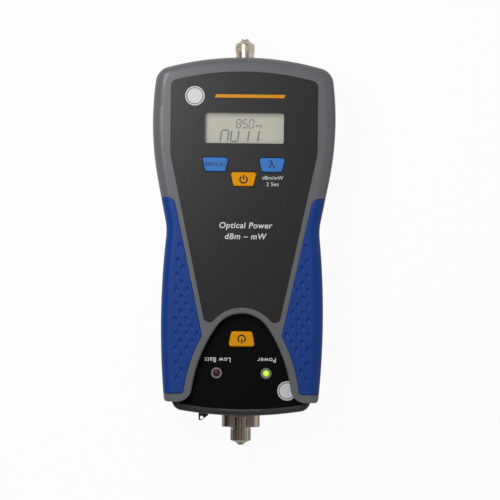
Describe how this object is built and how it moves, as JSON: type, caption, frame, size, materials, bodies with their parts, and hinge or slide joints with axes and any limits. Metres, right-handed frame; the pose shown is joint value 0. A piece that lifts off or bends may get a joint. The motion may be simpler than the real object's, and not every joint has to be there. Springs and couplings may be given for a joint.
{
  "type": "optical power meter",
  "caption": "Hand-held fibre-optic power meter with soft side grips and a light-source module that slides out of its lower end.",
  "frame": {"origin": "centre of the flat back, midway between the tips of the two dust caps", "axes": "+X to the right, +Y towards the meter's port, +Z out of the face"},
  "size_m": [0.0832, 0.1856, 0.0368],
  "materials": {
    "frame_plastic": "moulded, fine grain",
    "back_plastic": "moulded, fine grain",
    "panel_plastic": "textured film",
    "grip_rubber": "satin, dimpled",
    "window_glass": "clear",
    "lcd_glass": "liquid-crystal glass",
    "white_plastic": "moulded",
    "black_rubber": "matt",
    "blue_key": "moulded",
    "orange_key": "moulded",
    "clear_rubber": "silicone",
    "steel": "plain",
    "board": "glass-epoxy board",
    "chip": "moulded",
    "nickel": "nickel plated",
    "ceramic": "ground zirconia",
    "battery_case": "plain jacket",
    "red_lens": "tinted epoxy, unlit",
    "green_lens": "tinted epoxy, lit",
    "grey_ring": "moulded"
  },
  "bodies": {
    "meter": {"front_cover": "frame_plastic", "rear_cover": "back_plastic", "grip_left": "grip_rubber", "grip_right": "grip_rubber", "face_panel": "panel_plastic", "display_window": "window_glass", "display_glass": "lcd_glass", "display_reflector": "white_plastic", "display_connectors": "black_rubber", "keypad_mat": "clear_rubber", "key_switches": "steel", "main_board": "board", "board_components": "chip", "meter_port": "nickel", "alignment_sleeve": "ceramic", "photodiode": "steel", "battery": "battery_case", "battery_contacts": "steel", "case_screws": "steel"},
    "left_key": {"key_left": "blue_key"},
    "right_key": {"key_right": "blue_key"},
    "power_key": {"key_power": "orange_key"},
    "meter_cap": {"meter_port_cap": "nickel"},
    "door": {"battery_door": "back_plastic"},
    "source": {"source_front_cover": "back_plastic", "source_rear_cover": "back_plastic", "source_face_panel": "panel_plastic", "source_switch": "chip", "led_red": "red_lens", "led_green": "green_lens", "led_rings": "grey_ring", "source_board": "board", "source_port_flange": "nickel", "source_port_barrel": "nickel", "source_port_nut": "steel", "source_sleeve": "ceramic", "source_emitter": "steel", "source_battery": "battery_case", "source_battery_contacts": "steel", "source_battery_door": "back_plastic", "source_screws": "steel"},
    "source_power_key": {"source_key": "orange_key"},
    "source_cap": {"source_port_cap": "nickel"}
  },
  "joints": [
    {"name": "left_key_press", "type": "slide", "parent": "meter", "child": "left_key", "axis": [0, 0, -1], "range_m": [0, 0.0008], "stiffness_N_per_m": 1500, "springref_m": -0.0004},
    {"name": "right_key_press", "type": "slide", "parent": "meter", "child": "right_key", "axis": [0, 0, -1], "range_m": [0, 0.0008], "stiffness_N_per_m": 1500, "springref_m": -0.0004},
    {"name": "power_key_press", "type": "slide", "parent": "meter", "child": "power_key", "axis": [0, 0, -1], "range_m": [0, 0.0008], "stiffness_N_per_m": 1500, "springref_m": -0.0004},
    {"name": "meter_cap_pull", "type": "slide", "parent": "meter", "child": "meter_cap", "axis": [0, 1, 0], "range_m": [0, 0.012]},
    {"name": "door_swing", "type": "hinge", "parent": "meter", "child": "door", "pos_m": [0, 0.01345, 0.0011], "axis": [1, 0, 0], "range_deg": [0, 100]},
    {"name": "source_slide", "type": "slide", "parent": "meter", "child": "source", "axis": [0, -1, 0], "range_m": [0, 0.062]},
    {"name": "source_key_press", "type": "slide", "parent": "source", "child": "source_power_key", "axis": [0, 0, -1], "range_m": [0, 0.0008], "stiffness_N_per_m": 1500, "springref_m": -0.0004},
    {"name": "source_cap_pull", "type": "slide", "parent": "source", "child": "source_cap", "axis": [0, -1, 0], "range_m": [0, 0.012]}
  ]
}
